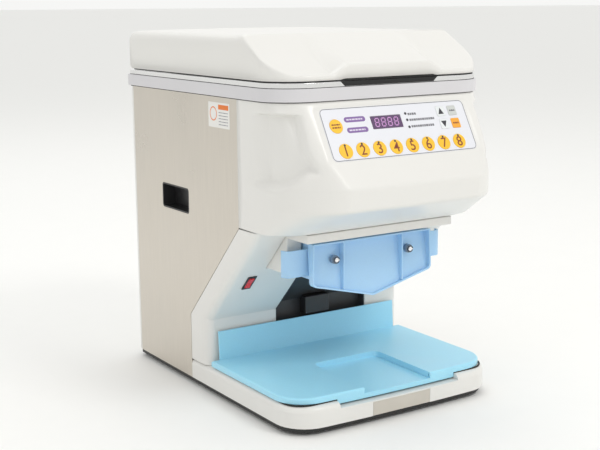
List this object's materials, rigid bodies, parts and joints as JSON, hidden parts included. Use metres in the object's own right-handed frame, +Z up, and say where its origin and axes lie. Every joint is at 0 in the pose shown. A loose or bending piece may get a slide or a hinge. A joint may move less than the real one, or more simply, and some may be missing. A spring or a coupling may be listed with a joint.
{
  "type": "rice serving machine",
  "caption": "Tabletop hopper machine with a slanted neck, hinged lid, tilted keypad, V-shaped drop chute with two flaps and a lift-off tray over a flat base.",
  "frame": {"origin": "middle of the footprint, at the underside of the feet", "axes": "-Y to the front, where the keypad, chute and tray are; +X to the right as seen from the front; +Z up"},
  "size_m": [0.38, 0.541, 0.5593],
  "materials": {
    "rubber": "matt",
    "gloss_white": "warm white gloss",
    "steel": "brushed, fine vertical grain",
    "black": "satin",
    "pan": "satin black paint",
    "tray_blue": "satin moulded",
    "chute_blue": "satin moulded",
    "knob": "satin",
    "overlay": "satin film",
    "display": "glossy filter",
    "rocker": "gloss",
    "band": "satin",
    "trim": "bright",
    "shaft": "turned",
    "zinc_sheet": "zinc plated sheet",
    "hopper": "satin moulded",
    "roller": "machined acetal",
    "gear": "nylon",
    "motor": "satin",
    "board": "solder mask",
    "key_yellow": "printed membrane",
    "key_white": "printed membrane",
    "key_grey": "printed membrane",
    "key_orange": "printed membrane"
  },
  "bodies": {
    "machine": {"foot_front_left": "rubber", "foot_front_right": "rubber", "foot_rear_left": "rubber", "foot_rear_right": "rubber", "base_cover": "gloss_white", "rear_cover": "gloss_white", "neck_cover": "gloss_white", "head_cover": "gloss_white", "outlet_housing": "gloss_white", "side_panel_left": "steel", "side_panel_right": "steel", "base_insert": "steel", "grip_left": "black", "grip_right": "black", "neck_panel": "black", "sensor_box": "black", "switch_bezel": "black", "power_inlet": "black", "base_pan": "pan", "chute_box": "chute_blue", "control_overlay": "overlay", "display_window": "display", "rim_band": "band", "rim_trim": "trim", "hinge_pin": "shaft", "hinge_bracket": "zinc_sheet", "inner_frame": "zinc_sheet", "hopper": "hopper", "feed_motor": "motor", "agitator_motor": "motor", "power_supply": "motor", "control_board": "board"},
    "lid": {"lid": "gloss_white"},
    "tray": {"tray": "tray_blue"},
    "chute_cover": {"chute_cover": "chute_blue"},
    "knob_left": {"chute_knob_left": "knob"},
    "knob_right": {"chute_knob_right": "knob"},
    "flap_left": {"flap_left": "chute_blue"},
    "flap_right": {"flap_right": "chute_blue"},
    "feed_front": {"feed_roller_front": "roller", "feed_gear_front": "gear"},
    "feed_rear": {"feed_roller_rear": "roller", "feed_gear_rear": "gear"},
    "pinion": {"motor_pinion": "gear"},
    "agitator": {"agitator_shaft": "shaft"},
    "rocker": {"power_rocker": "rocker"},
    "key_1": {"key_1": "key_yellow"},
    "key_2": {"key_2": "key_yellow"},
    "key_3": {"key_3": "key_yellow"},
    "key_4": {"key_4": "key_yellow"},
    "key_5": {"key_5": "key_yellow"},
    "key_6": {"key_6": "key_yellow"},
    "key_7": {"key_7": "key_yellow"},
    "key_8": {"key_8": "key_yellow"},
    "key_start": {"key_start": "key_yellow"},
    "key_up": {"key_up": "key_white"},
    "key_menu": {"key_menu": "key_grey"},
    "key_down": {"key_down": "key_white"},
    "key_mode": {"key_mode": "key_orange"}
  },
  "joints": [
    {"name": "lid_hinge", "type": "hinge", "parent": "machine", "child": "lid", "pos_m": [0, 0.2545, 0.5083], "axis": [-1, 0, 0], "range_deg": [0, 92]},
    {"name": "tray_lift", "type": "slide", "parent": "machine", "child": "tray", "axis": [0, -0.6, 0.8], "range_m": [0, 0.06]},
    {"name": "chute_cover_pull", "type": "slide", "parent": "machine", "child": "chute_cover", "axis": [0, -1, 0], "range_m": [0, 0.04]},
    {"name": "knob_left_turn", "type": "hinge", "parent": "chute_cover", "child": "knob_left", "pos_m": [-0.068, -0.162, 0.233], "axis": [0, -1, 0], "continuous": true},
    {"name": "knob_right_turn", "type": "hinge", "parent": "chute_cover", "child": "knob_right", "pos_m": [0.068, -0.162, 0.233], "axis": [0, -1, 0], "continuous": true},
    {"name": "flap_left_swing", "type": "hinge", "parent": "machine", "child": "flap_left", "pos_m": [-0.098, -0.152, 0.211], "axis": [0, 1, 0], "range_deg": [0, 64]},
    {"name": "flap_right_swing", "type": "hinge", "parent": "machine", "child": "flap_right", "pos_m": [0.098, -0.152, 0.211], "axis": [0, -1, 0], "range_deg": [0, 64]},
    {"name": "feed_front_turn", "type": "hinge", "parent": "machine", "child": "feed_front", "pos_m": [0, -0.14, 0.312], "axis": [1, 0, 0], "continuous": true},
    {"name": "feed_rear_turn", "type": "hinge", "parent": "machine", "child": "feed_rear", "pos_m": [0, -0.107, 0.312], "axis": [1, 0, 0], "continuous": true},
    {"name": "pinion_turn", "type": "hinge", "parent": "machine", "child": "pinion", "pos_m": [0, -0.08019, 0.312], "axis": [1, 0, 0], "continuous": true},
    {"name": "agitator_turn", "type": "hinge", "parent": "machine", "child": "agitator", "pos_m": [0, 0.0395, 0.4123], "axis": [1, 0, 0], "continuous": true},
    {"name": "rocker_tilt", "type": "hinge", "parent": "machine", "child": "rocker", "pos_m": [-0.149, -0.05287, 0.1875], "axis": [1, 0, 0], "range_deg": [-7, 7]},
    {"name": "key_1_press", "type": "slide", "parent": "machine", "child": "key_1", "axis": [0, 0.8704, -0.4924], "range_m": [0, 0.0005], "stiffness_N_per_m": 400, "springref_m": -0.0005},
    {"name": "key_2_press", "type": "slide", "parent": "machine", "child": "key_2", "axis": [0, 0.8704, -0.4924], "range_m": [0, 0.0005], "stiffness_N_per_m": 400, "springref_m": -0.0005},
    {"name": "key_3_press", "type": "slide", "parent": "machine", "child": "key_3", "axis": [0, 0.8704, -0.4924], "range_m": [0, 0.0005], "stiffness_N_per_m": 400, "springref_m": -0.0005},
    {"name": "key_4_press", "type": "slide", "parent": "machine", "child": "key_4", "axis": [0, 0.8704, -0.4924], "range_m": [0, 0.0005], "stiffness_N_per_m": 400, "springref_m": -0.0005},
    {"name": "key_5_press", "type": "slide", "parent": "machine", "child": "key_5", "axis": [0, 0.8704, -0.4924], "range_m": [0, 0.0005], "stiffness_N_per_m": 400, "springref_m": -0.0005},
    {"name": "key_6_press", "type": "slide", "parent": "machine", "child": "key_6", "axis": [0, 0.8704, -0.4924], "range_m": [0, 0.0005], "stiffness_N_per_m": 400, "springref_m": -0.0005},
    {"name": "key_7_press", "type": "slide", "parent": "machine", "child": "key_7", "axis": [0, 0.8704, -0.4924], "range_m": [0, 0.0005], "stiffness_N_per_m": 400, "springref_m": -0.0005},
    {"name": "key_8_press", "type": "slide", "parent": "machine", "child": "key_8", "axis": [0, 0.8704, -0.4924], "range_m": [0, 0.0005], "stiffness_N_per_m": 400, "springref_m": -0.0005},
    {"name": "key_start_press", "type": "slide", "parent": "machine", "child": "key_start", "axis": [0, 0.8704, -0.4924], "range_m": [0, 0.0005], "stiffness_N_per_m": 400, "springref_m": -0.0005},
    {"name": "key_up_press", "type": "slide", "parent": "machine", "child": "key_up", "axis": [0, 0.8704, -0.4924], "range_m": [0, 0.0005], "stiffness_N_per_m": 400, "springref_m": -0.0005},
    {"name": "key_menu_press", "type": "slide", "parent": "machine", "child": "key_menu", "axis": [0, 0.8704, -0.4924], "range_m": [0, 0.0005], "stiffness_N_per_m": 400, "springref_m": -0.0005},
    {"name": "key_down_press", "type": "slide", "parent": "machine", "child": "key_down", "axis": [0, 0.8704, -0.4924], "range_m": [0, 0.0005], "stiffness_N_per_m": 400, "springref_m": -0.0005},
    {"name": "key_mode_press", "type": "slide", "parent": "machine", "child": "key_mode", "axis": [0, 0.8704, -0.4924], "range_m": [0, 0.0005], "stiffness_N_per_m": 400, "springref_m": -0.0005}
  ],
  "couplings": [
    {"joint": "flap_right_swing", "follows": "flap_left_swing", "ratio": 1},
    {"joint": "feed_front_turn", "follows": "feed_rear_turn", "ratio": -1},
    {"joint": "pinion_turn", "follows": "feed_rear_turn", "ratio": -1.6}
  ]
}
